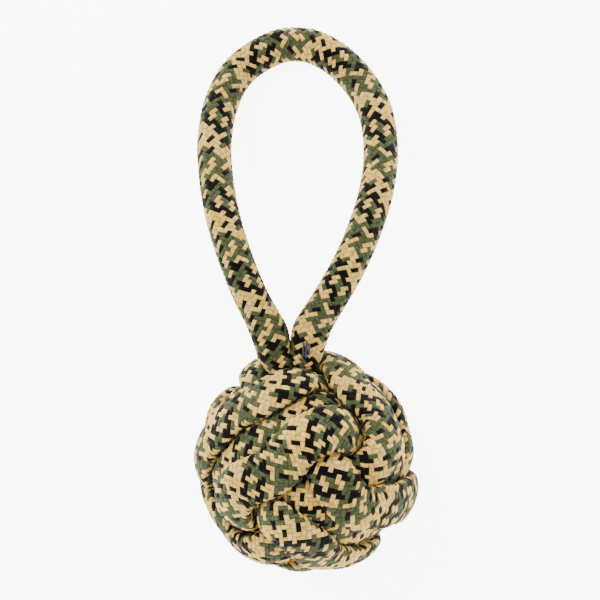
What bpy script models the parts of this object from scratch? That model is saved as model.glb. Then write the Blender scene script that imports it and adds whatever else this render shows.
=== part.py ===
"""Rope fetch toy: a monkey's-fist ball knotted round a solid core, with a sewn-in rope loop to throw it.

Units are metres and +Z is up. The toy lies on its side as it does on a floor: the ball rests at -Y, and the
loop leaves it near its top and sinks until its far end rests on the floor at +Y.
"""

import math

import bmesh
import bpy
import numpy as np

# Rope
ROPE_DIAMETER = 0.0145
PRESSED_WIDTH = 0.0184  # spacing of turns pressed side by side in the knot
PRESSED_HEIGHT = 0.0096  # spacing of turns pressed one on another
PRESSED_HALF_WIDTH = 0.0099
PRESSED_HALF_HEIGHT = 0.0053
CLEARANCE = 0.00035  # kept on each side between two surfaces

# Ball
BALL_CENTRE = np.array([-0.0001, -0.0683, 0.0465])
CORE_RADIUS = 0.0250
OVER_RADIUS = 0.0400  # from the ball's centre to a turn that lies over another set
UNDER_RADIUS = 0.0306
FARTHEST_RADIUS = 0.0408
TAIL_ROOM = 0.0102  # kept between the turns and the handle's sewn-in ends
KNOT_SPIN = math.radians(9.0)
KNOT_TILT = math.radians(19.4)
KNOT_ROLL = math.radians(7.3)
STATION_STEP = 0.0035
SETTLING_ROUNDS = 300
NODE_STATIONS = 40
NODE_SIDES = 14

# Handle: the loop's middle line in plan, from the ball's centre, left end to right end
HANDLE_PLAN = [
    (-0.009, 0.034),
    (-0.012, 0.042),
    (-0.0142, 0.050),
    (-0.0178, 0.058),
    (-0.024, 0.070),
    (-0.030, 0.085),
    (-0.035, 0.101),
    (-0.038, 0.117),
    (-0.039, 0.134),
    (-0.036, 0.151),
    (-0.028, 0.165),
    (-0.014, 0.174),
    (-0.004, 0.1755),
    (0.004, 0.174),
    (0.014, 0.168),
    (0.023, 0.158),
    (0.029, 0.146),
    (0.031, 0.130),
    (0.029, 0.113),
    (0.024, 0.097),
    (0.0175, 0.082),
    (0.0095, 0.068),
    (0.0033, 0.058),
    (-0.0002, 0.050),
    (-0.002, 0.042),
    (-0.004, 0.034),
]
# Height of that line above the floor, by its distance along +Y from the ball's centre
HANDLE_HEIGHTS = [
    (0.034, 0.0575),
    (0.042, 0.0605),
    (0.050, 0.0628),
    (0.058, 0.0640),
    (0.070, 0.0636),
    (0.085, 0.0596),
    (0.101, 0.0523),
    (0.117, 0.0425),
    (0.134, 0.0310),
    (0.151, 0.0195),
    (0.165, 0.0110),
    (0.174, 0.0076),
    (0.176, 0.0073),
]
NECK_HINGE_Y = 0.058
LOOP_HINGE_Y = 0.109
HINGE_GAP = 0.0005
HANDLE_SIDES = 16

# Thread that sews the handle's ends down
THREAD_DIAMETER = 0.0009
STITCH_PITCH = 0.0012
STITCH_LENGTH = 0.0075
STITCH_COUNT = 3
STITCH_CENTRE = np.array([-0.0004, 0.0468, 0.0703])
STITCH_SLOPE = 0.28

# Turns of the knot, each ended where it is hidden, in degrees wound since the rope's start
TURN_ENDS = [0, 360, 720, 1170, 1530, 1890, 2150, 2510, 2870, 3070]

# Finishes: colour, roughness
KNOT_ROPE_FINISH = ((0.30, 0.29, 0.17), 0.9)
HANDLE_ROPE_FINISH = ((0.34, 0.33, 0.20), 0.9)
THREAD_FINISH = ((0.02, 0.02, 0.06), 0.7)
CORE_FINISH = ((0.05, 0.05, 0.05), 0.8)


def clear_scene():
    for obj in list(bpy.data.objects):
        bpy.data.objects.remove(obj)


def turn_about(axis, angle):
    """Rotation matrix about one of the axes 'y' and 'z'."""
    c, s = math.cos(angle), math.sin(angle)
    if axis == "y":
        return np.array([[c, 0, s], [0, 1, 0], [-s, 0, c]])
    return np.array([[c, -s, 0], [s, c, 0], [0, 0, 1]])


def knot_axes():
    """Rows are the stacking directions of the knot's three sets of turns, square to one another."""
    slant, drop = math.sqrt(2 / 3), -math.sqrt(1 / 3)
    upright = []
    for degrees in (-30, 210, 90):
        angle = math.radians(degrees)
        upright.append([slant * math.cos(angle), slant * math.sin(angle), drop])
    turn = turn_about("z", KNOT_SPIN) @ turn_about("y", KNOT_TILT) @ turn_about("z", KNOT_ROLL)
    return np.array(upright) @ turn.T


def ease(x):
    x = np.clip(x, 0, 1)
    return x * x * (3 - 2 * x)


def wound_set(axes, number, start, stop, first_lane, lane_step, change_at):
    """Middle line of one set of three turns, wound from angle start to stop about its stacking direction.

    The angle is measured from the direction where the set runs under another one. The rope changes lanes
    twice, a whole turn apart, where it is hidden.
    """
    along, over, under = axes[number], axes[(number + 1) % 3], axes[(number + 2) % 3]
    way = 1 if stop > start else -1
    points = []
    for degrees in np.arange(start, stop, 2.0 * way):
        lane = first_lane
        for change in (1, 2):
            lane += lane_step * ease(((degrees - change_at) * way - 360 * change + 50) / 100)
        angle = math.radians(degrees)
        reach = (OVER_RADIUS + UNDER_RADIUS) / 2
        reach -= (OVER_RADIUS - UNDER_RADIUS) / 2 * math.cos(2 * angle)
        offset = lane * PRESSED_WIDTH
        in_plane = math.sqrt(reach * reach - offset * offset)
        points.append(along * offset + in_plane * (math.cos(angle) * under + math.sin(angle) * over))
    return points


def run_along(line):
    """Distance along the line to each station."""
    return np.r_[0, np.cumsum(np.linalg.norm(np.diff(line[:, :3], axis=0), axis=1))]


def stretch_between(line, start, stop, step):
    """Part of a line between two distances along it."""
    wanted = np.linspace(start, stop, int(round((stop - start) / step)) + 1)
    run = run_along(line)
    return np.stack([np.interp(wanted, run, column) for column in line.T], axis=1)


def resampled(points, step):
    """The same line with its stations step apart. Columns after the first three ride along."""
    return stretch_between(points, 0, run_along(points)[-1], step)


def pushed_apart(points, first, second):
    """How far each station moves so that turns keep their pressed spacing from one another."""
    move = np.zeros((len(points), 3))
    count = np.zeros(len(points))
    gap = points[second] - points[first]
    near = np.abs(gap).max(axis=1) < PRESSED_WIDTH
    first, second, gap = first[near], second[near], gap[near]
    out = points[first] + points[second]
    out /= np.linalg.norm(out, axis=1)[:, None]
    radial = (gap * out).sum(axis=1)
    level = gap - radial[:, None] * out
    beside = np.linalg.norm(level, axis=1)
    ratio = np.sqrt((radial / PRESSED_HEIGHT) ** 2 + (beside / PRESSED_WIDTH) ** 2)
    slope = radial[:, None] * out / PRESSED_HEIGHT**2 + level / PRESSED_WIDTH**2
    push = slope / ((slope**2).sum(axis=1)[:, None] + 1e-6) * (np.clip(1 - ratio, 0, 1) * ratio)[:, None]
    touching = ratio < 1
    np.add.at(move, first[touching], -push[touching])
    np.add.at(move, second[touching], push[touching])
    np.add.at(count, first[touching], 1)
    np.add.at(count, second[touching], 1)
    return 0.6 * move / np.maximum(count, 1)[:, None]


def settled(points, tails):
    """The knot's line pulled tight.

    Turns push one another apart, and the core and the handle's ends hold them off.
    """
    points = resampled(points, STATION_STEP)
    skip = int(0.027 / STATION_STEP)
    for step in range(SETTLING_ROUNDS):
        if step % 25 == 0:
            points = resampled(points, STATION_STEP)
            first, second = np.triu_indices(len(points), skip)
        place = points[:, :3]
        place = place + pushed_apart(place, first, second)
        away = place[:, None] - tails[None]
        distance = np.linalg.norm(away, axis=2)
        push = np.clip(TAIL_ROOM - distance, 0, None) / np.maximum(distance, 1e-6)
        pushing = np.maximum((push > 0).sum(axis=1), 1)
        place = place + 0.2 * (away * push[:, :, None]).sum(axis=1) / pushing[:, None]
        reach = np.linalg.norm(place, axis=1)
        pull = 0.005 * np.clip((reach - 0.030) / 0.010, 0, 1.5)
        pull += 0.8 * np.clip(reach - FARTHEST_RADIUS, 0, None)
        place = place * (1 - pull)[:, None]
        reach = np.linalg.norm(place, axis=1)
        lowest = CORE_RADIUS + PRESSED_HEIGHT / 2
        place = place * np.maximum(lowest / reach, 1)[:, None]
        bend = np.zeros_like(place)
        bend[1:-1] = (place[:-2] + place[2:]) / 4 - place[1:-1] / 2
        stiff = bend.copy()
        stiff[1:-1] -= (bend[:-2] + bend[2:]) / 2
        move = place + 0.35 * stiff + 0.04 * bend - points[:, :3]
        along = tangents(points[:, :3])
        points[:, :3] += move - (move * along).sum(axis=1)[:, None] * along
    return points


def knot_line(axes, tails):
    """Middle line of the knotted rope from the ball's centre, with the degrees wound in a fourth column."""
    line = wound_set(axes, 0, 10, -1030, -1, 1, 0)
    line += wound_set(axes, 1, 50, 1030, 1, -1, 0)
    line += wound_set(axes, 2, 130, -920, -1, 1, 180)
    wound = np.arange(len(line)) * 2.0
    return settled(np.column_stack([line, wound]), tails)


def smooth_line(corners, step):
    """Catmull-Rom curve through the corners, with stations about step apart."""
    corners = np.array(corners)
    padded = np.vstack([2 * corners[0] - corners[1], corners, 2 * corners[-1] - corners[-2]])
    points = []
    for a, b, c, d in zip(padded, padded[1:], padded[2:], padded[3:]):
        for t in np.linspace(0, 1, 12, endpoint=False):
            bend = (2 * a - 5 * b + 4 * c - d) * t**2 + (3 * b - a - 3 * c + d) * t**3
            points.append((2 * b + (c - a) * t + bend) / 2)
    points.append(corners[-1])
    return resampled(np.array(points), step)


def handle_line():
    """Middle line of the loop from the ball's centre."""
    heights = np.array(HANDLE_HEIGHTS)
    plan = smooth_line(HANDLE_PLAN, 0.002)
    height = np.interp(plan[:, 1], heights[:, 0], heights[:, 1])
    for _ in range(6):
        height[1:-1] = (height[:-2] + 2 * height[1:-1] + height[2:]) / 4
    return resampled(np.column_stack([plan, height - BALL_CENTRE[2]]), 0.002)


def tangents(points):
    along = np.gradient(points, axis=0)
    return along / np.linalg.norm(along, axis=1)[:, None]


def section_frames(points, outward):
    """Sideways and outward directions at each station, square to the line."""
    along = tangents(points)
    outward = outward - (outward * along).sum(axis=1)[:, None] * along
    outward /= np.linalg.norm(outward, axis=1)[:, None]
    return np.cross(along, outward), outward


def stretched(points):
    """Points drawn out from the ball's centre, so that a pressed rope section becomes round."""
    reach = np.linalg.norm(points, axis=-1, keepdims=True)
    middle = (OVER_RADIUS + UNDER_RADIUS) / 2
    return points * ((middle + (reach - middle) * PRESSED_WIDTH / PRESSED_HEIGHT) / reach)


def pressed_section(centre, directions, free, own, others):
    """How far the section reaches each way before it meets the core or comes nearer another rope."""
    own, others = stretched(own), stretched(others)
    low, high = 0.1 * free, 1.4 * free
    for _ in range(9):
        reach = (low + high) / 2
        surface = centre + directions * reach[:, None]
        ahead = stretched(centre + directions * (reach + CLEARANCE)[:, None])
        to_own = np.linalg.norm(ahead[:, None] - own[None], axis=2).min(axis=1)
        to_others = np.linalg.norm(ahead[:, None] - others[None], axis=2).min(axis=1)
        off_core = np.linalg.norm(surface, axis=1) > CORE_RADIUS + CLEARANCE
        fits = (to_own + CLEARANCE < to_others) & off_core
        low, high = np.where(fits, reach, low), np.where(fits, high, reach)
    return (free**-6.0 + low**-6.0) ** (-1 / 6)


def pressed_turn(line, number, tails):
    """Rings of the surface of one turn of the knot."""
    run = run_along(line)
    start, stop = np.interp(TURN_ENDS[number : number + 2], line[:, 3], run)
    here = np.linspace(start + CLEARANCE, stop - CLEARANCE, NODE_STATIONS)
    sideways, outward = section_frames(line[:, :3], line[:, :3])
    guide = np.column_stack([line[:, :3], sideways, outward])
    guide = np.stack([np.interp(here, run, column) for column in guide.T], axis=1)
    middle, sideways, outward = guide[:, :3], guide[:, 3:6], guide[:, 6:]
    angles = np.linspace(0, 2 * math.pi, NODE_SIDES, endpoint=False)
    flatness = (np.cos(angles) / PRESSED_HALF_WIDTH) ** 2 + (np.sin(angles) / PRESSED_HALF_HEIGHT) ** 2
    rings = []
    for k, centre in enumerate(middle):
        directions = np.cos(angles)[:, None] * sideways[k] + np.sin(angles)[:, None] * outward[k]
        close = np.linalg.norm(line[:, :3] - centre, axis=1) < 0.032
        beside = np.abs(run - here[k]) < 0.020
        own = line[close & beside, :3]
        others = np.vstack([line[close & ~beside, :3], tails])
        reach = pressed_section(centre, directions, flatness**-0.5, own, others)
        rings.append(centre + directions * reach[:, None])
    return np.array(rings)


def lofted(name, rings, first_tip=None, last_tip=None):
    """Closed solid through the rings. An end is a flat fan, or a point where a tip is given."""
    bm = bmesh.new()
    loops = [[bm.verts.new(point + BALL_CENTRE) for point in ring] for ring in rings]
    sides = len(loops[0])
    for near, far in zip(loops, loops[1:]):
        for k in range(sides):
            after = (k + 1) % sides
            bm.faces.new((near[k], near[after], far[after], far[k]))
    for loop, tip, flip in ((loops[0], first_tip, True), (loops[-1], last_tip, False)):
        middle = np.mean([vert.co[:] for vert in loop], axis=0)
        end = bm.verts.new(middle if tip is None else tip + BALL_CENTRE)
        for k in range(sides):
            after = (k + 1) % sides
            corner = (loop[after], loop[k], end) if flip else (loop[k], loop[after], end)
            bm.faces.new(corner)
    bmesh.ops.recalc_face_normals(bm, faces=bm.faces)
    mesh = bpy.data.meshes.new(name)
    bm.to_mesh(mesh)
    bm.free()
    mesh.polygons.foreach_set("use_smooth", [True] * len(mesh.polygons))
    return bpy.data.objects.new(name, mesh)


def round_rings(points, radius):
    sideways, outward = section_frames(points, np.array([[0.0, 0.0, 1.0]] * len(points)))
    angles = np.linspace(0, 2 * math.pi, HANDLE_SIDES, endpoint=False)[None, :, None]
    around = np.cos(angles) * sideways[:, None] + np.sin(angles) * outward[:, None]
    return points[:, None] + around * radius


def handle_length(name, line, start, stop, rounded_start, rounded_stop):
    """Solid of the handle between two distances along it, with round ends where it turns on a hinge."""
    radius = ROPE_DIAMETER / 2
    points = stretch_between(line, start, stop, 0.0055)
    along = tangents(points)
    rings = round_rings(points, radius)
    tips = [None, None]
    for end, rounded, way in ((0, rounded_start, -1), (-1, rounded_stop, 1)):
        if not rounded:
            continue
        domed = []
        for degrees in (25, 50, 72):
            angle = math.radians(degrees)
            shift = points[end] + along[end] * way * radius * math.sin(angle)
            domed.append(shift + (rings[end] - points[end]) * math.cos(angle))
        tips[end] = points[end] + along[end] * way * radius
        rings = np.concatenate([domed[::-1], rings] if end == 0 else [rings, domed])
    return lofted(name, rings, tips[0], tips[1])


def tail_length(name, points, knot, other_tail):
    """Solid of one sewn-in end of the handle, pressed by the turns round it."""
    sideways, outward = section_frames(points, np.array([[0.0, 0.0, 1.0]] * len(points)))
    angles = np.linspace(0, 2 * math.pi, HANDLE_SIDES, endpoint=False)
    free = np.full(HANDLE_SIDES, ROPE_DIAMETER / 2)
    rings = []
    for k, centre in enumerate(points):
        directions = np.cos(angles)[:, None] * sideways[k] + np.sin(angles)[:, None] * outward[k]
        near = knot[np.linalg.norm(knot - centre, axis=1) < 0.045]
        reach = pressed_section(centre, directions, free, points, np.vstack([near, other_tail]))
        rings.append(centre + directions * reach[:, None])
    return lofted(name, np.array(rings))


def distance_at(line, y, side):
    """Distance along the handle to where its left (-1) or right (1) leg passes y."""
    far_end = int(np.argmax(line[:, 1]))
    run = run_along(line)
    if side < 0:
        return float(np.interp(y, line[:far_end, 1], run[:far_end]))
    return float(np.interp(-y, -line[far_end:, 1], run[far_end:]))


def core_ball():
    bm = bmesh.new()
    bmesh.ops.create_uvsphere(bm, u_segments=24, v_segments=14, radius=CORE_RADIUS)
    bmesh.ops.translate(bm, verts=bm.verts, vec=BALL_CENTRE)
    mesh = bpy.data.meshes.new("core_ball")
    bm.to_mesh(mesh)
    bm.free()
    return bpy.data.objects.new("core_ball", mesh)


def stitch_thread():
    """The thread's visible stitches, lying over the handle's right end and the turn below it."""
    curve = bpy.data.curves.new("stitch_thread", "CURVE")
    curve.dimensions = "3D"
    curve.bevel_depth = THREAD_DIAMETER / 2
    curve.bevel_resolution = 1
    curve.use_fill_caps = True
    spline = curve.splines.new("POLY")
    points = []
    for k in range(STITCH_COUNT):
        x = (k - (STITCH_COUNT - 1) / 2) * STITCH_PITCH
        way = 1 if k % 2 == 0 else -1
        for along in (-0.5, -0.17, 0.17, 0.5):
            y = along * way * STITCH_LENGTH
            points.append((x, y, STITCH_SLOPE * y - 9.0 * y * y))
    spline.points.add(len(points) - 1)
    for point, place in zip(spline.points, points):
        point.co = (*(STITCH_CENTRE + BALL_CENTRE * (1, 1, 0) + place), 1.0)
    return bpy.data.objects.new("stitch_thread", curve)


def give_material(obj, colour, roughness):
    material = bpy.data.materials.new(obj.name)
    material.use_nodes = True
    shader = material.node_tree.nodes["Principled BSDF"]
    shader.inputs["Base Color"].default_value = (*colour, 1.0)
    shader.inputs["Roughness"].default_value = roughness
    obj.data.materials.clear()
    obj.data.materials.append(material)


def build():
    clear_scene()
    toy = bpy.data.collections.new("rope_fetch_toy")
    bpy.context.scene.collection.children.link(toy)

    handle = handle_line()
    end = run_along(handle)[-1]
    clear = ROPE_DIAMETER / 2 + HINGE_GAP
    neck_left, neck_right = (distance_at(handle, NECK_HINGE_Y, side) for side in (-1, 1))
    fold_left, fold_right = (distance_at(handle, LOOP_HINGE_Y, side) for side in (-1, 1))
    left_tail = stretch_between(handle, 0, neck_left - clear, 0.003)
    right_tail = stretch_between(handle, neck_right + clear, end, 0.003)
    tails = np.vstack([left_tail, right_tail])
    knot = knot_line(knot_axes(), tails)

    parts = []
    for number in range(len(TURN_ENDS) - 1):
        turn = lofted(f"knot_turn_{number + 1}", pressed_turn(knot, number, tails))
        parts.append((turn, *KNOT_ROPE_FINISH))
    for side, tail, other in (("left", left_tail, right_tail), ("right", right_tail, left_tail)):
        parts.append((tail_length(f"handle_tail_{side}", tail, knot[:, :3], other), *HANDLE_ROPE_FINISH))
    lengths = (
        ("handle_leg_left", neck_left, fold_left - clear, True, False),
        ("handle_leg_right", fold_right + clear, neck_right, False, True),
        ("handle_loop", fold_left, fold_right, True, True),
    )
    for name, start, stop, rounded_start, rounded_stop in lengths:
        length = handle_length(name, handle, start, stop, rounded_start, rounded_stop)
        parts.append((length, *HANDLE_ROPE_FINISH))
    parts.append((stitch_thread(), *THREAD_FINISH))
    parts.append((core_ball(), *CORE_FINISH))
    for obj, colour, roughness in parts:
        toy.objects.link(obj)
        give_material(obj, colour, roughness)


build()
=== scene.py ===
"""Looks of the rope fetch toy: braided rope covers, sewing thread, rubber core, light and floor."""

import math

import bpy
import numpy as np
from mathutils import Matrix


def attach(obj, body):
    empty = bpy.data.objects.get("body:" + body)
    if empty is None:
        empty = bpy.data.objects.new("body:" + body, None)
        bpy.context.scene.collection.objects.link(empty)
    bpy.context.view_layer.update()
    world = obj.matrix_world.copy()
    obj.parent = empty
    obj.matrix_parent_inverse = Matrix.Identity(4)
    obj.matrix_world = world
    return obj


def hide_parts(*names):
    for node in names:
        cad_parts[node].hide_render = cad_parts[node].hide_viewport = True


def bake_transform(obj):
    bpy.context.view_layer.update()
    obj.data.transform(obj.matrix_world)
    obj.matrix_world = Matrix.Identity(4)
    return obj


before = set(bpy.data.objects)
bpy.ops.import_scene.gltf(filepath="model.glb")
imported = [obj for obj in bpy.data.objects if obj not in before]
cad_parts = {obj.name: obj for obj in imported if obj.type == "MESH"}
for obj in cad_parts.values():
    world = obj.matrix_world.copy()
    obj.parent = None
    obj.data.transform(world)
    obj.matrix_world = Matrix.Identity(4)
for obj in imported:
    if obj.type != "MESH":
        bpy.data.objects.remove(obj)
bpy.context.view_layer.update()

# Rope
ROPE_DIAMETER = 0.0145
PRESSED_WIDTH = 0.0184  # spacing of turns pressed side by side in the knot
PRESSED_HEIGHT = 0.0096  # spacing of turns pressed one on another

# Ball
BALL_CENTRE = np.array([-0.0001, -0.0683, 0.0465])
CORE_RADIUS = 0.0250
OVER_RADIUS = 0.0400  # from the ball's centre to a turn that lies over another set
UNDER_RADIUS = 0.0306  # and to a turn that lies under one
FARTHEST_RADIUS = 0.0408
TAIL_ROOM = 0.0102  # kept between the turns and the handle's sewn-in ends
KNOT_SPIN = math.radians(9.0)
KNOT_TILT = math.radians(19.4)
KNOT_ROLL = math.radians(7.3)
WINDING_STEP = 2.0  # degrees
LANE_CHANGE_SPAN = 100  # degrees
KNOT_TURN_ENDS = [0, 360, 720, 1170, 1530, 1890, 2150, 2510, 2870, 3070]  # degrees wound

# Pulling the knot tight
STATION_STEP = 0.0035
SETTLING_ROUNDS = 300
ROUNDS_BETWEEN_RESPACING = 25
OWN_STRETCH = 0.027  # rope nearer than this along the line doesn't push
TURN_PUSH = 0.6  # share of an overlap taken up in one round
TAIL_PUSH = 0.2
INWARD_PULL = 0.005
PULL_STARTS = 0.030  # from the ball's centre
PULL_GROWS_OVER = 0.010
MOST_PULL = 1.5
FARTHEST_PULL = 0.8
STIFFNESS = 0.35
STRAIGHTENING = 0.04

# Handle: the loop's middle line in plan, from the ball's centre, left end to right end
HANDLE_PLAN = [
    (-0.009, 0.034),
    (-0.012, 0.042),
    (-0.0142, 0.050),
    (-0.0178, 0.058),
    (-0.024, 0.070),
    (-0.030, 0.085),
    (-0.035, 0.101),
    (-0.038, 0.117),
    (-0.039, 0.134),
    (-0.036, 0.151),
    (-0.028, 0.165),
    (-0.014, 0.174),
    (-0.004, 0.1755),
    (0.004, 0.174),
    (0.014, 0.168),
    (0.023, 0.158),
    (0.029, 0.146),
    (0.031, 0.130),
    (0.029, 0.113),
    (0.024, 0.097),
    (0.0175, 0.082),
    (0.0095, 0.068),
    (0.0033, 0.058),
    (-0.0002, 0.050),
    (-0.002, 0.042),
    (-0.004, 0.034),
]
# Height of that line above the floor, by its distance along +Y from the ball's centre
HANDLE_HEIGHTS = [
    (0.034, 0.0575),
    (0.042, 0.0605),
    (0.050, 0.0628),
    (0.058, 0.0640),
    (0.070, 0.0636),
    (0.085, 0.0596),
    (0.101, 0.0523),
    (0.117, 0.0425),
    (0.134, 0.0310),
    (0.151, 0.0195),
    (0.165, 0.0110),
    (0.174, 0.0076),
    (0.176, 0.0073),
]
NECK_HINGE_Y = 0.058
HINGE_GAP = 0.0005
HANDLE_STEP = 0.002
HEIGHT_SMOOTHINGS = 6
TAIL_STEP = 0.003
NECK_REACH = 0.028  # a neck piece ends this far along Y from the neck's hinge, about half way to the loop's
PATH_STATIONS = 120

# Thread that sews the handle's ends down
PLY_RADIUS = 0.00024
PLY_OVERLAP = 0.95  # distance of a ply from the thread's middle, over the ply's radius
TWIST_LENGTH = 0.0016
STITCH_DIVE = 0.0020  # how far a stitch's ends sink into the rope
STITCH_LENGTHS = (0.80, 1.0, 0.62)  # share of the full stitch
STITCH_PITCH = 0.0012
STITCH_LENGTH = 0.0075
STITCH_COUNT = 3
STITCH_CENTRE = np.array([-0.0004, 0.0468, 0.0703])
STITCH_SLOPE = 0.28
STITCH_ARCH = 9.0  # fall with the square of the distance from a stitch's middle, per metre
STITCH_LEAN = 0.15  # of the middle stitch, as a share of the pitch
STITCH_BENDS = 25
STITCH_STATIONS = 90

# Braid of the rope's cover: 16 strands wound each way, over two and under two
STRANDS = 16
BRAID_PITCH = 0.0369
CELLS = 4  # faces across one strand
STRAND_RELIEF = 0.00030
STRAND_ROUNDING = 0.00020
MEAN_WAVE = 0.3  # where the rope's bare surface lies in a strand's rise and fall, which runs from -1 to 1
EDGE_NUDGE = 0.001  # keeps a point on the edge of a strand in one strand
YARNS = 3.0  # laid side by side in each strand
TWISTS = 3.2  # of a yarn along one crossing
RIGHT_WOUND = "KGGTTKTTKTKGTTGT"  # T tan, G green, K near-black
LEFT_WOUND = "TTTTKKGGKKGTGGGG"
TAN = (0.575, 0.368, 0.092)
GREEN = (0.050, 0.060, 0.025)
NEAR_BLACK = (0.0022, 0.0020, 0.0021)

# Where the strands lie on the knot
KNOT_SHORTENING = 1.12  # the bent rope's braid is this much tighter along the knot than along the handle
KNOT_PHASES = (3, 8)
KNOT_BRAID_START = 0.0140  # how far along the rope the knot's braid begins its pattern

# Where the strands lie on the handle, by distance along it seen from above
RIGHT_PHASE = 11
LEFT_PHASE = 0
PHASE_POINT = 0.0691  # along the braid, where both phases above are met on its upper side
BUNCHING = 0.105  # how much tighter the braid is near the knot
LEFT_BUNCHED_TO = 0.080
RIGHT_BUNCHED_FROM = 0.225
COVER_TWIST = (math.radians(-15), math.radians(20))  # of the cover, before and after it twists
TWIST_PLACE = (0.045, 0.135)

# Sections of the ropes
FULL_HALF_WIDTH = 0.0112
FULL_HALF_HEIGHT = 0.0052
HANDLE_HALF = 0.0073
NECK_SPREAD = 0.14  # share by which the sewn legs are wider at the knot
NECK_SPREAD_FROM = 0.064  # along Y from the ball's centre
NECK_SPREAD_OVER = 0.014
FULL_PRESS = 0.30  # share of the free reach lost where a strand counts as fully pressed
OWN_REACH = 0.020  # rope nearer than this along the line is the section's own
NEIGHBOUR_REACH = 0.034  # rope farther than this doesn't press
SEARCH_ROUNDS = 9
CORNER_POWER = 9.0  # higher leaves a sharper edge between the free and the pressed outline

# Looks of the cover: brightness, from the first pattern value to the last, much of it painted light and shade
# painted light level of each copy of the cover: the knot's is painted lighter than the handle's
KNOT_PAINTED_LIGHT_LEVEL = 1.02
HANDLE_PAINTED_LIGHT_LEVEL = 0.93
KNOT_DIRT = 0.10
HANDLE_DIRT = 0.06
# the fibres' own streaky tone, with painted highlights on them and painted shade between them
FIBRE_TONE_AND_PAINTED_LIGHT = (0.48, 1.48)
YARN_PAINTED_LIGHT = (1.10, 0.66)  # painted light on a yarn, and painted shade in the gap between two
# painted light on each turn of a yarn's twist, and painted shade in the groove between turns
PLY_PAINTED_LIGHT = (1.10, 0.88)
BLOTCH_LIGHT = (0.86, 1.14)
STRAND_PAINTED_SHADE = (1.04, 0.52)  # painted light in the middle of a strand, and painted shade at its edges and where it goes under
SEAM_PAINTED_SHADE = (1.03, 0.22)  # painted light on the open rope, and painted shade where two turns press together
BLOTCH_SATURATION = (1.12, 0.90)
FIBRE_ROUGHNESS = (0.97, 0.80)
FIBRES_ACROSS = 3.6  # noise cells over one strand's width
FIBRES_ALONG = 2.2  # noise cells over one crossing
FIBRE_WANDER = 1.6
YARN_WANDER = 0.5
GRIME_SCALE = 45.0  # patches per metre
COVER_BUMP = (0.75, 0.0003)  # strength, and height in metres
STRAND_NUMBER_GAP = 31.7  # keeps the noise of the left-wound strands apart from the right-wound ones'

# Looks of the thread and the core
NAVY = (0.003, 0.003, 0.014)
WORN_NAVY = (0.012, 0.014, 0.048)
RUBBER_DARK = (0.020, 0.020, 0.021)
RUBBER_LIGHT = (0.045, 0.044, 0.042)
RUBBER_BUMP = (0.3, 0.0002)

# Camera and light
CAMERA_DISTANCE = 6.0
VIEW_WIDTH = 0.252
VIEW_CENTRE = (-0.0031, -0.0008)
SENSOR_WIDTH = 36.0  # mm
FLOOR_HALF = 3.0
FLOOR_DROP = 0.0005
FLOOR_GLOW = 7.0
WORLD_LIGHT = 0.75
LIT_POINT = (0, 0, 0.04)
SOFT_BOXES = (  # name, place, size and watts
    ("key", (-0.9, 0.8, 1.5), 1.0, 48.0),
    ("fill", (1.2, -0.4, 1.3), 1.4, 16.0),
    ("top", (0.0, 0.0, 2.0), 1.6, 20.0),
)


# --- Camera ---

def make_camera():
    """Camera far above the toy, looking straight down."""
    data = bpy.data.cameras.new("camera")
    data.sensor_width = SENSOR_WIDTH
    data.lens = SENSOR_WIDTH * CAMERA_DISTANCE / VIEW_WIDTH
    data.clip_end = 20.0
    camera = bpy.data.objects.new("camera", data)
    bpy.context.scene.collection.objects.link(camera)
    camera.location = (*VIEW_CENTRE, BALL_CENTRE[2] + CAMERA_DISTANCE)
    bpy.context.scene.camera = camera


# --- Middle lines of the ropes ---

def turn_about(axis, angle):
    """Rotation matrix about one of the axes 'y' and 'z'."""
    c, s = math.cos(angle), math.sin(angle)
    if axis == "y":
        return np.array([[c, 0, s], [0, 1, 0], [-s, 0, c]])
    return np.array([[c, -s, 0], [s, c, 0], [0, 0, 1]])


def knot_axes():
    """Rows are the stacking directions of the knot's three sets of turns, square to one another."""
    slant, drop = math.sqrt(2 / 3), -math.sqrt(1 / 3)
    upright = []
    for degrees in (-30, 210, 90):
        angle = math.radians(degrees)
        upright.append([slant * math.cos(angle), slant * math.sin(angle), drop])
    turn = turn_about("z", KNOT_SPIN) @ turn_about("y", KNOT_TILT) @ turn_about("z", KNOT_ROLL)
    return np.array(upright) @ turn.T


def ease(x):
    """Smooth step from 0 to 1."""
    x = np.clip(x, 0, 1)
    return x * x * (3 - 2 * x)


def wound_set(axes, number, start, stop, first_lane, lane_step, change_at):
    """Middle line of one set of three turns, wound from angle start to stop about its stacking direction.

    The angle is measured from the direction where the set runs under another one. The rope changes lanes
    twice, a whole turn apart, where it is hidden.
    """
    along, over, under = axes[number], axes[(number + 1) % 3], axes[(number + 2) % 3]
    way = 1 if stop > start else -1
    points = []
    for degrees in np.arange(start, stop, WINDING_STEP * way):
        lane = first_lane
        for change in (1, 2):
            turned = (degrees - change_at) * way - 360 * change
            lane += lane_step * ease((turned + LANE_CHANGE_SPAN / 2) / LANE_CHANGE_SPAN)
        angle = math.radians(degrees)
        reach = (OVER_RADIUS + UNDER_RADIUS) / 2
        reach -= (OVER_RADIUS - UNDER_RADIUS) / 2 * math.cos(2 * angle)
        offset = lane * PRESSED_WIDTH
        in_plane = math.sqrt(reach * reach - offset * offset)
        points.append(along * offset + in_plane * (math.cos(angle) * under + math.sin(angle) * over))
    return points


def run_along(line):
    """Distance along the line to each station."""
    return np.r_[0, np.cumsum(np.linalg.norm(np.diff(line[:, :3], axis=0), axis=1))]


def stretch_between(line, start, stop, step):
    """Part of a line between two distances along it."""
    wanted = np.linspace(start, stop, int(round((stop - start) / step)) + 1)
    run = run_along(line)
    return np.stack([np.interp(wanted, run, column) for column in line.T], axis=1)


def resampled(points, step):
    """The same line with its stations step apart. Columns after the first three ride along."""
    return stretch_between(points, 0, run_along(points)[-1], step)


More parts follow.
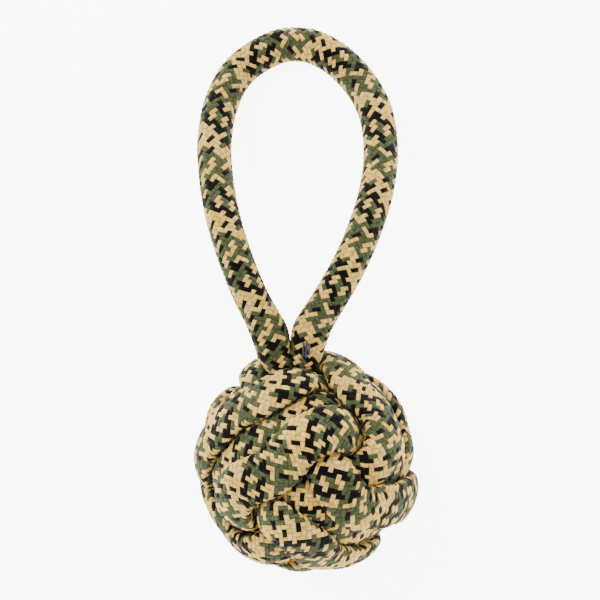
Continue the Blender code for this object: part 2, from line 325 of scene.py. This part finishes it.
def pushed_apart(points, first, second):
    """How far each station moves so that turns keep their pressed spacing from one another."""
    move = np.zeros((len(points), 3))
    count = np.zeros(len(points))
    gap = points[second] - points[first]
    near = np.abs(gap).max(axis=1) < PRESSED_WIDTH
    first, second, gap = first[near], second[near], gap[near]
    out = points[first] + points[second]
    out /= np.linalg.norm(out, axis=1)[:, None]
    radial = (gap * out).sum(axis=1)
    level = gap - radial[:, None] * out
    beside = np.linalg.norm(level, axis=1)
    ratio = np.sqrt((radial / PRESSED_HEIGHT) ** 2 + (beside / PRESSED_WIDTH) ** 2)
    slope = radial[:, None] * out / PRESSED_HEIGHT**2 + level / PRESSED_WIDTH**2
    overlap = np.clip(1 - ratio, 0, 1) * ratio
    push = slope / ((slope**2).sum(axis=1)[:, None] + 1e-6) * overlap[:, None]
    touching = ratio < 1
    np.add.at(move, first[touching], -push[touching])
    np.add.at(move, second[touching], push[touching])
    np.add.at(count, first[touching], 1)
    np.add.at(count, second[touching], 1)
    return TURN_PUSH * move / np.maximum(count, 1)[:, None]


def settled(points, tails):
    """The knot's line pulled tight.

    Turns push one another apart, and the core and the handle's ends hold them off.
    """
    points = resampled(points, STATION_STEP)
    skip = int(OWN_STRETCH / STATION_STEP)
    for step in range(SETTLING_ROUNDS):
        if step % ROUNDS_BETWEEN_RESPACING == 0:
            points = resampled(points, STATION_STEP)
            first, second = np.triu_indices(len(points), skip)
        place = points[:, :3]
        place = place + pushed_apart(place, first, second)
        away = place[:, None] - tails[None]
        distance = np.linalg.norm(away, axis=2)
        push = np.clip(TAIL_ROOM - distance, 0, None) / np.maximum(distance, 1e-6)
        pushing = np.maximum((push > 0).sum(axis=1), 1)
        place = place + TAIL_PUSH * (away * push[:, :, None]).sum(axis=1) / pushing[:, None]
        reach = np.linalg.norm(place, axis=1)
        pull = INWARD_PULL * np.clip((reach - PULL_STARTS) / PULL_GROWS_OVER, 0, MOST_PULL)
        pull += FARTHEST_PULL * np.clip(reach - FARTHEST_RADIUS, 0, None)
        place = place * (1 - pull)[:, None]
        reach = np.linalg.norm(place, axis=1)
        lowest = CORE_RADIUS + PRESSED_HEIGHT / 2
        place = place * np.maximum(lowest / reach, 1)[:, None]
        bend = np.zeros_like(place)
        bend[1:-1] = (place[:-2] + place[2:]) / 4 - place[1:-1] / 2
        stiff = bend.copy()
        stiff[1:-1] -= (bend[:-2] + bend[2:]) / 2
        move = place + STIFFNESS * stiff + STRAIGHTENING * bend - points[:, :3]
        along = tangents(points[:, :3])
        points[:, :3] += move - (move * along).sum(axis=1)[:, None] * along
    return points


def knot_line(axes, tails):
    """Middle line of the knotted rope from the ball's centre, with the degrees wound in a fourth column."""
    line = wound_set(axes, 0, 10, -1030, -1, 1, 0)
    line += wound_set(axes, 1, 50, 1030, 1, -1, 0)
    line += wound_set(axes, 2, 130, -920, -1, 1, 180)
    wound = np.arange(len(line)) * WINDING_STEP
    return settled(np.column_stack([line, wound]), tails)


def smooth_line(corners, step):
    """Catmull-Rom curve through the corners, with stations about step apart."""
    corners = np.array(corners)
    padded = np.vstack([2 * corners[0] - corners[1], corners, 2 * corners[-1] - corners[-2]])
    points = []
    for a, b, c, d in zip(padded, padded[1:], padded[2:], padded[3:]):
        for t in np.linspace(0, 1, 12, endpoint=False):
            bend = (2 * a - 5 * b + 4 * c - d) * t**2 + (3 * b - a - 3 * c + d) * t**3
            points.append((2 * b + (c - a) * t + bend) / 2)
    points.append(corners[-1])
    return resampled(np.array(points), step)


def handle_line():
    """Middle line of the loop from the ball's centre."""
    heights = np.array(HANDLE_HEIGHTS)
    plan = smooth_line(HANDLE_PLAN, HANDLE_STEP)
    height = np.interp(plan[:, 1], heights[:, 0], heights[:, 1])
    for _ in range(HEIGHT_SMOOTHINGS):
        height[1:-1] = (height[:-2] + 2 * height[1:-1] + height[2:]) / 4
    return resampled(np.column_stack([plan, height - BALL_CENTRE[2]]), HANDLE_STEP)


def tangents(points):
    """Direction of the line at each station."""
    along = np.gradient(points, axis=0)
    return along / np.linalg.norm(along, axis=1)[:, None]


def section_frames(points, outward):
    """Sideways and outward directions at each station, square to the line."""
    along = tangents(points)
    outward = outward - (outward * along).sum(axis=1)[:, None] * along
    outward /= np.linalg.norm(outward, axis=1)[:, None]
    return np.cross(along, outward), outward


def stretched(points):
    """Points drawn out from the ball's centre, so that a pressed rope section becomes round."""
    reach = np.linalg.norm(points, axis=-1, keepdims=True)
    middle = (OVER_RADIUS + UNDER_RADIUS) / 2
    return points * ((middle + (reach - middle) * PRESSED_WIDTH / PRESSED_HEIGHT) / reach)


def distance_at(line, y, side):
    """Distance along the handle to where its left (-1) or right (1) leg passes y."""
    far_end = int(np.argmax(line[:, 1]))
    run = run_along(line)
    if side < 0:
        return float(np.interp(y, line[:far_end, 1], run[:far_end]))
    return float(np.interp(-y, -line[far_end:, 1], run[far_end:]))


# --- Rope surfaces ---

def pressed_reach(centre, directions, free, own, others):
    """How far the section reaches each way before it meets the core or comes nearer another rope."""
    own, others = stretched(own), stretched(others)
    low, high = 0.1 * free, 1.3 * free
    for _ in range(SEARCH_ROUNDS):
        reach = (low + high) / 2
        surface = centre + directions * reach[:, None]
        ahead = stretched(surface)
        to_own = np.linalg.norm(ahead[:, None] - own[None], axis=2).min(axis=1)
        to_others = np.linalg.norm(ahead[:, None] - others[None], axis=2).min(axis=1)
        fits = (to_own < to_others) & (np.linalg.norm(surface, axis=1) > CORE_RADIUS)
        low, high = np.where(fits, reach, low), np.where(fits, high, reach)
    return (free**-CORNER_POWER + low**-CORNER_POWER) ** (-1 / CORNER_POWER)


def even_ring(angles, reach, pressed):
    """Section outline, evenly spaced along its edge from the outward side: sideways, outward, pressed."""
    ring = np.column_stack([np.sin(angles) * reach, np.cos(angles) * reach, pressed])
    closed = np.vstack([ring, ring[:1]])
    run = np.r_[0, np.cumsum(np.linalg.norm(np.diff(closed[:, :2], axis=0), axis=1))]
    wanted = np.linspace(0, run[-1], len(reach), endpoint=False)
    return np.stack([np.interp(wanted, run, column) for column in closed.T], axis=1)


def rope_rings(line, outward_hint, others_line, half_width, half_height):
    """Rings of the rope's bare surface, one at each station of the line, pressed where other rope is near.

    The fourth number of each point says how hard it is pressed, from 0 to 1.
    """
    sideways, outward = section_frames(line, outward_hint)
    angles = np.linspace(0, 2 * math.pi, STRANDS * CELLS, endpoint=False)
    half_widths = np.broadcast_to(half_width, len(line))
    run = run_along(line)
    outlines = []
    for k, centre in enumerate(line):
        free = ((np.sin(angles) / half_widths[k]) ** 2 + (np.cos(angles) / half_height) ** 2) ** -0.5
        beside = np.abs(run - run[k]) < OWN_REACH
        close = np.linalg.norm(line - centre, axis=1) < NEIGHBOUR_REACH
        other = others_line[np.linalg.norm(others_line - centre, axis=1) < NEIGHBOUR_REACH]
        others = np.vstack([line[close & ~beside], other])
        reach = free
        if len(others):
            directions = np.sin(angles)[:, None] * sideways[k]
            directions = directions + np.cos(angles)[:, None] * outward[k]
            reach = pressed_reach(centre, directions, free, line[close & beside], others)
        pressed = np.clip((1 - reach / free) / FULL_PRESS, 0, 1)
        outlines.append(even_ring(angles, reach, pressed))
    outlines = np.array(outlines)
    for _ in range(2):
        outlines = (np.roll(outlines, 1, axis=1) + 2 * outlines + np.roll(outlines, -1, axis=1)) / 4
        outlines[1:-1] = (outlines[:-2] + 2 * outlines[1:-1] + outlines[2:]) / 4
    place = line[:, None] + outlines[:, :, :1] * sideways[:, None]
    place = place + outlines[:, :, 1:2] * outward[:, None]
    return np.concatenate([place, outlines[:, :, 2:]], axis=2)


def smooth_between(values, place):
    """Catmull-Rom values at fractional row numbers of an array."""
    last = len(values) - 1
    row = np.clip(np.floor(place).astype(int), 0, last - 1)
    t = (place - row).reshape((-1,) + (1,) * (values.ndim - 1))
    a, b = values[np.maximum(row - 1, 0)], values[row]
    c, d = values[row + 1], values[np.minimum(row + 2, last)]
    bend = (2 * a - 5 * b + 4 * c - d) * t**2 + (3 * b - a - 3 * c + d) * t**3
    return (2 * b + (c - a) * t + bend) / 2


def braid_height(u, v):
    """Height of the cover's strands over the rope's bare surface.

    u counts the strands wound one way across their width, and v those wound the other way.
    """
    right, left = np.floor(u), np.floor(v)
    right_wave = np.cos(math.pi / 2 * (v + right + 2))
    left_wave = np.cos(math.pi / 2 * (u + left))
    right_round = (2 * (u - right) - 1) ** 2
    left_round = (2 * (v - left) - 1) ** 2
    right_top = STRAND_RELIEF * (right_wave - MEAN_WAVE) - STRAND_ROUNDING * right_round
    left_top = STRAND_RELIEF * (left_wave - MEAN_WAVE) - STRAND_ROUNDING * left_round
    return np.maximum(right_top, left_top)


def braided(rings, pitch_run, twist, phases):
    """Surface of the braided cover.

    pitch_run gives, for each station of the rings, how far the braid has advanced along the rope, and twist
    how far the cover has turned round it. It returns the points, the strand coordinates u and v of each, how
    hard each is pressed, and the ring number of each row.
    """
    row_step = BRAID_PITCH / (STRANDS * CELLS)
    first_row = math.ceil(pitch_run[0] / row_step)
    last_row = math.floor(pitch_run[-1] / row_step)
    advance = np.arange(first_row, last_row + 1) * row_step
    place = np.interp(advance, pitch_run, np.arange(len(rings)))
    fine = smooth_between(rings, place)
    bare, pressed = fine[:, :, :3], fine[:, :, 3]
    along = np.gradient(bare, axis=0)
    around = (np.roll(bare, -1, axis=1) - np.roll(bare, 1, axis=1)) / 2
    outward = np.cross(around, along)
    outward /= np.linalg.norm(outward, axis=2, keepdims=True)
    middle = bare.mean(axis=1, keepdims=True)
    outward *= np.sign(((bare - middle) * outward).sum(axis=2, keepdims=True))
    sides = rings.shape[1]
    cover_turn = np.interp(advance, pitch_run, twist) / (2 * math.pi)
    turn = np.arange(sides)[None] / sides + cover_turn[:, None]
    u = STRANDS * (turn - advance[:, None] / BRAID_PITCH) + phases[0]
    v = STRANDS * (turn + advance[:, None] / BRAID_PITCH) + phases[1]
    height = braid_height(u + EDGE_NUDGE, v + EDGE_NUDGE)
    return bare + outward * height[:, :, None], u, v, pressed, place


def rope_piece(name, surface, first, last, material):
    """Mesh of the rows first to last of a braided surface, with its ends closed.

    Its map named braid holds the strand coordinates, and its seam attribute how hard each is pressed, which
    masks the painted shade in the seams.
    """
    points, u, v, pressed = (array[first : last + 1] for array in surface[:4])
    rows, sides = u.shape
    index = np.arange(rows * sides).reshape(rows, sides)
    after = np.roll(index, -1, axis=1)
    quads = np.stack([index[:-1], after[:-1], after[1:], index[1:]], axis=2).reshape(-1, 4)
    corners = points.reshape(-1, 3) + BALL_CENTRE
    ends = [points[0].mean(axis=0) + BALL_CENTRE, points[-1].mean(axis=0) + BALL_CENTRE]
    faces = quads.tolist()
    for k in range(sides):
        following = (k + 1) % sides
        faces.append((int(index[0, following]), int(index[0, k]), rows * sides))
        faces.append((int(index[-1, k]), int(index[-1, following]), rows * sides + 1))
    mesh = bpy.data.meshes.new(name)
    mesh.from_pydata(np.vstack([corners, ends]).tolist(), [], faces)
    u_after = np.concatenate([u[:, 1:], u[:, :1] + STRANDS], axis=1)
    v_after = np.concatenate([v[:, 1:], v[:, :1] + STRANDS], axis=1)
    face_u = np.stack([u[:-1], u_after[:-1], u_after[1:], u[1:]], axis=2).reshape(-1)
    face_v = np.stack([v[:-1], v_after[:-1], v_after[1:], v[1:]], axis=2).reshape(-1)
    layer = mesh.uv_layers.new(name="braid")
    flat = np.zeros((len(mesh.loops), 2), np.float32)
    flat[: len(face_u), 0] = face_u
    flat[: len(face_v), 1] = face_v
    layer.data.foreach_set("uv", flat.reshape(-1))
    seam = mesh.attributes.new("seam_shade_mask", "FLOAT", "POINT")
    seam.data.foreach_set("value", np.r_[pressed.reshape(-1), 1.0, 1.0].astype(np.float32))
    mesh.polygons.foreach_set("use_smooth", [True] * len(mesh.polygons))
    mesh.materials.append(material)
    obj = bpy.data.objects.new(name, mesh)
    bpy.context.scene.collection.objects.link(obj)
    return obj


# --- Materials ---

class NodeMaker:
    """Short calls that add shader nodes to a material and link them."""

    def __init__(self, name):
        self.material = bpy.data.materials.new(name)
        self.material.use_nodes = True
        self.tree = self.material.node_tree
        self.shader = self.tree.nodes["Principled BSDF"]

    def put(self, socket, value):
        if isinstance(value, bpy.types.NodeSocket):
            self.tree.links.new(value, socket)
        else:
            socket.default_value = value

    def math(self, operation, *values):
        node = self.tree.nodes.new("ShaderNodeMath")
        node.operation = operation
        for socket, value in zip(node.inputs, values):
            self.put(socket, value)
        return node.outputs[0]

    def mix(self, factor, first, second):
        node = self.tree.nodes.new("ShaderNodeMix")
        node.data_type = "RGBA"
        self.put(node.inputs[0], factor)
        self.put(node.inputs[6], first)
        self.put(node.inputs[7], second)
        return node.outputs[2]

    def choose(self, factor, when_zero, when_one):
        node = self.tree.nodes.new("ShaderNodeMix")
        node.data_type = "FLOAT"
        self.put(node.inputs[0], factor)
        self.put(node.inputs[2], when_zero)
        self.put(node.inputs[3], when_one)
        return node.outputs[0]

    def vector(self, *values):
        node = self.tree.nodes.new("ShaderNodeCombineXYZ")
        for socket, value in zip(node.inputs, values):
            self.put(socket, value)
        return node.outputs[0]

    def noise(self, vector, scale, detail=2.0):
        node = self.tree.nodes.new("ShaderNodeTexNoise")
        self.put(node.inputs["Vector"], vector)
        node.inputs["Scale"].default_value = scale
        node.inputs["Detail"].default_value = detail
        return node.outputs["Fac"]

    def scaled_range(self, value, low, high):
        node = self.tree.nodes.new("ShaderNodeMapRange")
        self.put(node.inputs["Value"], value)
        node.inputs["To Min"].default_value = low
        node.inputs["To Max"].default_value = high
        return node.outputs[0]

    def spread(self, noise, low, high):
        """The part of a noise that it mostly takes, drawn out to the whole range from low to high."""
        drawn_out = self.scaled_range(noise, low, high)
        node = drawn_out.node
        node.inputs["From Min"].default_value = 0.30
        node.inputs["From Max"].default_value = 0.70
        return drawn_out

    def strand_colours(self, place, sequence):
        """Colour of a strand, from its number over the number of strands."""
        node = self.tree.nodes.new("ShaderNodeValToRGB")
        ramp = node.color_ramp
        ramp.interpolation = "CONSTANT"
        colours = {"T": TAN, "G": GREEN, "K": NEAR_BLACK}
        for k, letter in enumerate(sequence):
            stop = ramp.elements[k] if k < 2 else ramp.elements.new(k / STRANDS)
            stop.position = k / STRANDS
            stop.color = (*colours[letter], 1.0)
        self.put(node.inputs[0], place)
        return node.outputs[0]

    def folded(self, value):
        """Distance of the value's fraction from one half, drawn out to the range from 0 to 1."""
        fraction = self.math("FRACT", value)
        return self.math("ABSOLUTE", self.math("SUBTRACT", self.math("MULTIPLY", fraction, 2.0), 1.0))

    def point(self):
        return self.tree.nodes.new("ShaderNodeTexCoord").outputs["Object"]

    def bump(self, height, strength, distance):
        node = self.tree.nodes.new("ShaderNodeBump")
        node.inputs["Strength"].default_value = strength
        node.inputs["Distance"].default_value = distance
        self.put(node.inputs["Height"], height)
        self.put(self.shader.inputs["Normal"], node.outputs[0])


def strand_colour(m, number, sequence):
    """Colour of the strand with this whole number, which may lie outside the sequence's own range."""
    place = m.math("DIVIDE", m.math("ADD", number, 0.5), STRANDS)
    return m.strand_colours(m.math("FRACT", place), sequence)


def sunk_part(m, across, float_place):
    """0 on top of a strand, rising to 1 at its edges and where it goes under the others. It masks the painted
    shade there and shapes the relief.
    """
    off_middle = m.math("ABSOLUTE", m.math("SUBTRACT", m.math("MULTIPLY", across, 2.0), 1.0))
    off_float = m.math("ABSOLUTE", m.math("SUBTRACT", float_place, 2.0))
    side = m.math("POWER", off_middle, 4.0)
    tip = m.math("POWER", m.math("MINIMUM", off_float, 1.0), 5.0)
    return m.math("MAXIMUM", side, tip)


def braid_material(name, painted_light_level, dirt):
    """Braided cover: colours follow the strands, strands hold fine fibres, and edges sink into shade."""
    m = NodeMaker(name)
    chart = m.tree.nodes.new("ShaderNodeUVMap")
    chart.uv_map = "braid"
    split = m.tree.nodes.new("ShaderNodeSeparateXYZ")
    m.put(split.inputs[0], chart.outputs[0])
    u, v = split.outputs[0], split.outputs[1]

    # The strands that cross here, and which of them is on top
    right, left = m.math("FLOOR", u), m.math("FLOOR", v)
    stack = m.math("FLOORED_MODULO", m.math("ADD", m.math("ADD", right, left), 3.5), 4.0)
    left_on_top = m.math("GREATER_THAN", stack, 2.0)
    right_colour = strand_colour(m, right, RIGHT_WOUND)
    left_colour = strand_colour(m, left, LEFT_WOUND)
    colour = m.mix(left_on_top, right_colour, left_colour)

    # Place on the strand that is on top: across it, along it, and along the stretch where it floats
    across = m.choose(left_on_top, m.math("SUBTRACT", u, right), m.math("SUBTRACT", v, left))
    along = m.choose(left_on_top, v, u)
    strand = m.choose(left_on_top, right, m.math("ADD", left, STRAND_NUMBER_GAP))
    right_float = m.math("ADD", m.math("ADD", v, right), 4.0)
    left_float = m.math("ADD", m.math("ADD", u, left), 2.0)
    float_place = m.math("FLOORED_MODULO", m.choose(left_on_top, right_float, left_float), 4.0)
    sunk = sunk_part(m, across, float_place)

    # Fibres, yarns, the twist of each yarn, worn patches and dirt; the fibres, yarns and twists also carry
    # painted highlights and shade
    wander = m.noise(m.vector(along, strand, 0.0), 0.8)
    fibre_lay = m.math("MULTIPLY", wander, FIBRE_WANDER)
    fibre_across = m.math("ADD", m.math("MULTIPLY", across, FIBRES_ACROSS), fibre_lay)
    fibre_along = m.math("MULTIPLY", along, FIBRES_ALONG)
    fibres = m.noise(m.vector(fibre_across, fibre_along, m.math("MULTIPLY", strand, 3.7)), 1.0, 4.0)
    lay = m.math("ADD", m.math("MULTIPLY", across, YARNS), m.math("MULTIPLY", wander, YARN_WANDER))
    yarn_gap = m.math("POWER", m.folded(lay), 2.5)
    ply = m.folded(m.math("ADD", m.math("MULTIPLY", along, TWISTS), m.math("MULTIPLY", lay, 0.8)))
    blotch = m.noise(m.vector(m.math("MULTIPLY", along, 0.5), strand, 5.0), 1.0)
    grime = m.noise(m.point(), GRIME_SCALE, 4.0)
    # how hard two turns press together here: the mask of the painted seam shade
    seam = m.tree.nodes.new("ShaderNodeAttribute")
    seam.attribute_name = "seam_shade_mask"

    # brightness of the cover: its own tone, wear and dirt, with painted highlights and shade
    light = m.spread(fibres, *FIBRE_TONE_AND_PAINTED_LIGHT)
    for shade in (
        # painted light on each yarn and painted shade in the gaps between yarns
        m.scaled_range(yarn_gap, *YARN_PAINTED_LIGHT),
        # painted light and shade of each yarn's twist
        m.scaled_range(ply, *PLY_PAINTED_LIGHT),
        m.spread(blotch, *BLOTCH_LIGHT),
        m.spread(grime, 1.0 - dirt, 1.0 + dirt),
        # painted shade at a strand's edges and where it goes under, times this copy's painted light level
        m.scaled_range(sunk, *(share * painted_light_level for share in STRAND_PAINTED_SHADE)),
        # painted shade in the seams where two turns press together
        m.scaled_range(seam.outputs["Fac"], *SEAM_PAINTED_SHADE),
    ):
        light = m.math("MULTIPLY", light, shade)
    tint = m.tree.nodes.new("ShaderNodeHueSaturation")
    m.put(tint.inputs["Color"], colour)
    m.put(tint.inputs["Value"], light)
    m.put(tint.inputs["Saturation"], m.spread(blotch, *BLOTCH_SATURATION))
    m.put(m.shader.inputs["Base Color"], tint.outputs[0])

    m.put(m.shader.inputs["Roughness"], m.spread(fibres, *FIBRE_ROUGHNESS))
    m.shader.inputs["Specular IOR Level"].default_value = 0.07
    m.shader.inputs["Sheen Weight"].default_value = 0.03
    m.shader.inputs["Sheen Roughness"].default_value = 0.5
    m.shader.inputs["Sheen Tint"].default_value = (0.85, 0.80, 0.68, 1.0)

    height = m.math("MULTIPLY", m.math("SUBTRACT", 1.0, sunk), 0.55)
    for pattern, weight in ((fibres, 0.45), (yarn_gap, -0.30), (ply, -0.12)):
        height = m.math("ADD", height, m.math("MULTIPLY", pattern, weight))
    m.bump(height, *COVER_BUMP)
    return m.material


def thread_material():
    """Waxed navy thread with a slight shine and a speckle of worn wax."""
    m = NodeMaker("navy_thread")
    speckle = m.noise(m.point(), 1800.0, 3.0)
    m.put(m.shader.inputs["Base Color"], m.mix(speckle, (*NAVY, 1.0), (*WORN_NAVY, 1.0)))
    m.put(m.shader.inputs["Roughness"], m.scaled_range(speckle, 0.42, 0.70))
    m.shader.inputs["Sheen Weight"].default_value = 0.2
    return m.material


def rubber_material():
    """Dull black moulded rubber with fine mottling."""
    m = NodeMaker("core_rubber")
    mottle = m.noise(m.point(), 160.0, 5.0)
    m.put(m.shader.inputs["Base Color"], m.mix(mottle, (*RUBBER_DARK, 1.0), (*RUBBER_LIGHT, 1.0)))
    m.put(m.shader.inputs["Roughness"], m.scaled_range(mottle, 0.62, 0.85))
    m.bump(mottle, *RUBBER_BUMP)
    return m.material


def floor_material():
    """White sweep that glows, so that the toy throws only a faint shadow on it."""
    m = NodeMaker("white_floor")
    m.shader.inputs["Base Color"].default_value = (0.95, 0.95, 0.95, 1.0)
    m.shader.inputs["Roughness"].default_value = 0.9
    m.shader.inputs["Emission Color"].default_value = (1.0, 1.0, 1.0, 1.0)
    m.shader.inputs["Emission Strength"].default_value = FLOOR_GLOW
    return m.material


# --- Pieces ---

def make_handle(handle, knot, material):
    """The loop of round rope in three pieces: two necks that leave the knot, and the free cord between."""
    stations = resampled(handle, HANDLE_STEP)
    plan = np.column_stack([stations[:, :2], np.zeros(len(stations))])
    up = np.array([[0.0, 0.0, 1.0]] * len(stations))
    spread = NECK_SPREAD * ease((NECK_SPREAD_FROM - stations[:, 1]) / NECK_SPREAD_OVER)
    rings = rope_rings(stations, up, knot, HANDLE_HALF * (1 + spread), HANDLE_HALF)
    seen = run_along(plan)
    bunched = np.minimum(seen, LEFT_BUNCHED_TO) + np.maximum(seen - RIGHT_BUNCHED_FROM, 0)
    twist = np.interp(seen, TWIST_PLACE, COVER_TWIST)
    advance = seen + BUNCHING * bunched - PHASE_POINT
    surface = braided(rings, advance, twist, (RIGHT_PHASE, LEFT_PHASE))
    place = surface[4]
    run = run_along(stations)
    rows = []
    for side in (-1, 1):
        neck_end = distance_at(stations, NECK_HINGE_Y + NECK_REACH, side)
        station = np.interp(neck_end, run, np.arange(len(stations)))
        rows.append(int(np.argmin(np.abs(place - station))))
    loop = rope_piece("handle_cord", surface, rows[0], rows[1], material)
    left = rope_piece("neck_left", surface, 0, rows[0], material)
    right = rope_piece("neck_right", surface, rows[1], len(place) - 1, material)
    path = smooth_between(stations, np.linspace(place[rows[0]], place[rows[1]], PATH_STATIONS))
    return loop, left, right, path + BALL_CENTRE


def make_knot(knot, tails, material):
    """The knotted rope, a piece for each turn."""
    line = knot[:, :3]
    rings = rope_rings(line, line, tails, FULL_HALF_WIDTH, FULL_HALF_HEIGHT)
    advance = run_along(line) * KNOT_SHORTENING - KNOT_BRAID_START
    surface = braided(rings, advance, np.zeros(len(line)), KNOT_PHASES)
    wound = np.interp(surface[4], np.arange(len(line)), knot[:, 3])
    pieces = []
    for number, (start, stop) in enumerate(zip(KNOT_TURN_ENDS, KNOT_TURN_ENDS[1:])):
        first, last = (int(np.argmin(np.abs(wound - degrees))) for degrees in (start, stop))
        pieces.append(rope_piece(f"braided_turn_{number + 1}", surface, first, last, material))
    return pieces


def stitch_line(k):
    """Middle line of one stitch, from the middle of the stitches."""
    along = np.linspace(-0.5, 0.5, STITCH_BENDS)
    lean = STITCH_LEAN * STITCH_PITCH * (k % 2) * 2 * along
    x = (k - (STITCH_COUNT - 1) / 2) * STITCH_PITCH + lean
    y = along * STITCH_LENGTH * STITCH_LENGTHS[k]
    z = STITCH_SLOPE * y - STITCH_ARCH * y * y - STITCH_DIVE * (2 * along) ** 6
    bends = np.column_stack([x, y, z])
    return smooth_between(bends, np.linspace(0, STITCH_BENDS - 1, STITCH_STATIONS))


def make_thread(material):
    """Stitches of twisted two-ply thread that hold the handle's right end to the turn below it."""
    curve = bpy.data.curves.new("sewing_thread", "CURVE")
    curve.dimensions = "3D"
    curve.bevel_depth = PLY_RADIUS
    curve.bevel_resolution = 3
    curve.use_fill_caps = True
    centre = STITCH_CENTRE + BALL_CENTRE * (1, 1, 0)
    for k in range(STITCH_COUNT):
        line = stitch_line(k)
        sideways, outward = section_frames(line, np.array([[0.0, 0.0, 1.0]] * len(line)))
        turn = run_along(line) / TWIST_LENGTH * 2 * math.pi
        for ply in (0, math.pi):
            offset = np.cos(turn + ply)[:, None] * sideways + np.sin(turn + ply)[:, None] * outward
            points = centre + line + offset * PLY_RADIUS * PLY_OVERLAP
            spline = curve.splines.new("POLY")
            spline.points.add(len(points) - 1)
            spline.points.foreach_set("co", np.column_stack([points, np.ones(len(points))]).reshape(-1))
    curve.materials.append(material)
    obj = bpy.data.objects.new("sewing_thread", curve)
    bpy.context.scene.collection.objects.link(obj)
    return obj


# --- Floor and light ---

def make_floor():
    """Plain floor just under the toy."""
    mesh = bpy.data.meshes.new("floor")
    corners = [(x * FLOOR_HALF, y * FLOOR_HALF, -FLOOR_DROP) for x, y in ((-1, -1), (1, -1), (1, 1), (-1, 1))]
    mesh.from_pydata(corners, [], [(0, 1, 2, 3)])
    mesh.materials.append(floor_material())
    floor = bpy.data.objects.new("floor", mesh)
    bpy.context.scene.collection.objects.link(floor)


def make_light(name, place, size, watts):
    """Square soft box that looks at the toy."""
    data = bpy.data.lights.new(name, "AREA")
    data.size = size
    data.energy = watts
    light = bpy.data.objects.new(name, data)
    bpy.context.scene.collection.objects.link(light)
    light.location = place
    away = np.array(place) - LIT_POINT
    level = math.hypot(away[0], away[1])
    light.rotation_euler = (math.atan2(level, away[2]), 0.0, math.atan2(away[0], -away[1]))


def make_lights():
    """Soft boxes and an even white surrounding."""
    for soft_box in SOFT_BOXES:
        make_light(*soft_box)
    world = bpy.data.worlds.new("studio")
    world.use_nodes = True
    background = world.node_tree.nodes["Background"]
    background.inputs["Color"].default_value = (1.0, 1.0, 1.0, 1.0)
    background.inputs["Strength"].default_value = WORLD_LIGHT
    bpy.context.scene.world = world


# --- The toy ---

def sewn_in_ends(handle):
    """Points of the two stretches of the handle that are tucked into the knot."""
    clear = ROPE_DIAMETER / 2 + HINGE_GAP
    neck_left, neck_right = (distance_at(handle, NECK_HINGE_Y, side) for side in (-1, 1))
    left_tail = stretch_between(handle, 0, neck_left - clear, TAIL_STEP)
    right_tail = stretch_between(handle, neck_right + clear, run_along(handle)[-1], TAIL_STEP)
    return np.vstack([left_tail, right_tail])


def bend_at(piece):
    """Bakes the piece's place into its mesh."""
    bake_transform(piece)


def place_handle(handle, knot):
    """Covers the handle in three pieces, bakes their places into their meshes and hides the CAD pieces they
    stand in for.
    """
    # the handle's copy of the cover, painted darker than the knot's
    cover = braid_material("handle_braid", HANDLE_PAINTED_LIGHT_LEVEL, HANDLE_DIRT)
    loop, left, right, path = make_handle(handle, knot, cover)
    for neck, side in ((left, "left"), (right, "right")):
        bend_at(neck)
        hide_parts(f"handle_tail_{side}")
    bend_at(loop)
    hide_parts("handle_loop", "handle_leg_left", "handle_leg_right")


def place_knot(knot, tails):
    """Covers the knot's turns, which ride on the ball."""
    # the knot's copy of the cover, painted lighter than the handle's
    cover = braid_material("knot_braid", KNOT_PAINTED_LIGHT_LEVEL, KNOT_DIRT)
    for number, turn in enumerate(make_knot(knot, tails, cover)):
        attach(turn, "ball")
        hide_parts(f"knot_turn_{number + 1}")


def place_thread():
    """Sews the handle's end down."""
    thread = make_thread(thread_material())
    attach(thread, "ball")
    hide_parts("stitch_thread")


def finish_core():
    """Gives the core its rubber."""
    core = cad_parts["core_ball"]
    core.data.materials.clear()
    core.data.materials.append(rubber_material())


def build():
    """The camera and the rope's lines come first, then the pieces, the floor and the light."""
    make_camera()
    handle = handle_line()
    tails = sewn_in_ends(handle)
    knot = knot_line(knot_axes(), tails)
    place_handle(handle, knot[:, :3])
    place_knot(knot, tails)
    place_thread()
    finish_core()
    make_floor()
    make_lights()


build()
